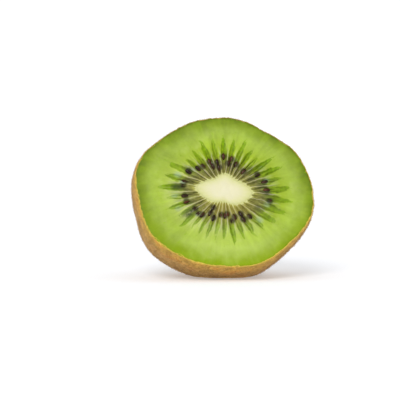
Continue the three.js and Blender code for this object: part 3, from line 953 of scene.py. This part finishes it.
def sepals_body():
    draw = random.Random(7)
    bm = bmesh.new()
    for count, start, longs, wides, curls in SEPAL_RINGS:
        for k in range(count):
            angle = 360 / count * (k + draw.uniform(-0.3, 0.3))
            long, wide, curl = draw.uniform(*longs), draw.uniform(*wides), draw.uniform(*curls)
            twist, sideways, seed = draw.uniform(-0.5, 0.5), draw.uniform(-0.5, 0.5), draw.uniform(0, 50)
            made = bmesh.ops.create_grid(bm, x_segments=12, y_segments=5, size=0.5)["verts"]
            for vert in made:
                along, across = vert.co.x + 0.5, 2 * vert.co.y
                half = wide * (1 - along**2.2) ** 0.8 * (0.75 + 0.5 * along) + SEPAL_TIP
                ragged = noise.noise(Vector((along * 5, across * 2, seed)))
                radius = start + long * along + 0.14 * ragged
                side = (half + 0.1 * wide * ragged) * across + sideways * along**2
                rise = CALYX_HEIGHT * curl * math.sin(math.pi * min(1.0, 0.15 + 0.85 * along)) ** 1.2
                rise += 0.3 * wide * across**2 * (1 - along) + twist * wide * across * along + 0.16 * ragged
                reach = math.hypot(radius, side)
                turn = angle + math.degrees(math.atan2(side, radius))
                vert.co = outside_at(turn, reach, depth_at(reach / FACE_RADIUS) + max(rise, 0.02))
    bmesh.ops.recalc_face_normals(bm, faces=bm.faces)
    bmesh.ops.solidify(bm, geom=bm.faces, thickness=SEPAL_THICKNESS)
    bmesh.ops.recalc_face_normals(bm, faces=bm.faces)
    return bm


# Dead, papery plant leaf: dull, crumpled, and blotched from tan to red-brown.
SEPAL_BLOTCH = 1.667
papery = new_material("dried papery sepal")
papery_place = node(papery, "ShaderNodeTexCoord", out="Object")
papery_patch = node(
    papery, "ShaderNodeTexNoise", {"Vector": papery_place, "Scale": 1000 / SEPAL_BLOTCH, "Detail": 3.0},
    out="Fac",
)
papery_tint = node(
    papery, "ShaderNodeValToRGB", {"Fac": papery_patch}, out="Color",
    stops=((0.3, "#6a4220"), (0.42, "#a87438"), (0.55, "#cf9c5c"), (0.66, "#b87038"), (0.75, "#8c4c22")),
)
papery_bump = node(papery, "ShaderNodeBump", {"Height": papery_patch, "Strength": 0.6, "Distance": 0.0003})
papery_shade = node(
    papery, "ShaderNodeBsdfPrincipled", {"Base Color": papery_tint, "Roughness": 0.85, "Normal": papery_bump}
)
node(papery, "ShaderNodeOutputMaterial", {"Surface": papery_shade})

sepals = piece_of("dried_sepals", sepals_body(), papery)
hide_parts("flesh_and_skin")
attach(sepals, "root")


# ---- Table and light -----------------------------------------------------------------------------
# A white acrylic table top, softly lit from below, under a white studio tent: light comes from all
# sides, most of it from above.
TABLE_HALF_WIDTH = 30.0  # metres, so that its edge is out of sight
GLOW_FROM_BELOW = 0.3
TENT_LIGHT = 0.74
TENT_WHITE = 1.08  # how bright the tent itself looks
SOFTBOX_LIGHT = 1.7
SOFTBOX_WIDTH = 24  # in degrees, as the fruit sees it
SOFTBOX_AIM = (0.3, 0.85, -0.6)

# White acrylic sheet: smooth but without a mirror's shine, and it lets the light through from below.
acrylic = new_material("lit white acrylic")
acrylic_shade = node(
    acrylic, "ShaderNodeBsdfPrincipled",
    {
        "Base Color": linear("#dcdee2"), "Roughness": 0.8, "Emission Color": linear("#ffffff"),
        "Emission Strength": GLOW_FROM_BELOW,
    },
)
node(acrylic, "ShaderNodeOutputMaterial", {"Surface": acrylic_shade})
sheet = bmesh.new()
bmesh.ops.create_grid(sheet, x_segments=1, y_segments=1, size=TABLE_HALF_WIDTH)
mesh = bpy.data.meshes.new("table_top")
sheet.to_mesh(mesh)
sheet.free()
mesh.materials.append(acrylic)
table = bpy.data.objects.new("table_top", mesh)
bpy.context.scene.collection.objects.link(table)

tent = bpy.data.worlds.new("studio_tent")
bpy.context.scene.world = tent
tent.use_nodes = True
tent.node_tree.nodes.clear()
seen = node(tent, "ShaderNodeLightPath", out="Is Camera Ray")
tent_strength = node(tent, "ShaderNodeMapRange", {"Value": seen, 3: TENT_LIGHT, 4: TENT_WHITE})
tent_light = node(tent, "ShaderNodeBackground", {"Color": linear("#ffffff"), "Strength": tent_strength})
node(tent, "ShaderNodeOutputWorld", {"Surface": tent_light})

lamp = bpy.data.lights.new("broad_softbox", "SUN")
lamp.energy = SOFTBOX_LIGHT
lamp.angle = math.radians(SOFTBOX_WIDTH)
holder = bpy.data.objects.new("broad_softbox", lamp)
holder.rotation_mode = "QUATERNION"
holder.rotation_quaternion = Vector(SOFTBOX_AIM).to_track_quat("-Z", "Y")
bpy.context.scene.collection.objects.link(holder)

bpy.context.scene.view_settings.view_transform = "Standard"


# ---- Camera --------------------------------------------------------------------------------------
# A long lens, almost level with the table and a little to the left of the fruit.
LENS = 280
SENSOR = 36
VIEW_WIDTH = 0.1198  # metres across the picture at the cut face
AZIMUTH, ELEVATION = math.radians(-8), math.radians(3.5)
AIM_LEFT, AIM_BELOW = 0.00719, 0.00299  # from the middle of the cut to the middle of the picture

back = Vector((
    math.sin(AZIMUTH) * math.cos(ELEVATION), -math.cos(AZIMUTH) * math.cos(ELEVATION), math.sin(ELEVATION),
))
right = Vector((math.cos(AZIMUTH), math.sin(AZIMUTH), 0))
upwards = back.cross(right)
target = PLACE.to_translation() - AIM_LEFT * right - AIM_BELOW * upwards
camera = bpy.data.objects.new("camera", bpy.data.cameras.new("camera"))
camera.data.lens = LENS
camera.data.sensor_width = SENSOR
camera.location = target + back * (LENS / SENSOR * VIEW_WIDTH)
camera.rotation_mode = "QUATERNION"
camera.rotation_quaternion = (-back).to_track_quat("-Z", "Y")
bpy.context.scene.collection.objects.link(camera)
bpy.context.scene.camera = camera
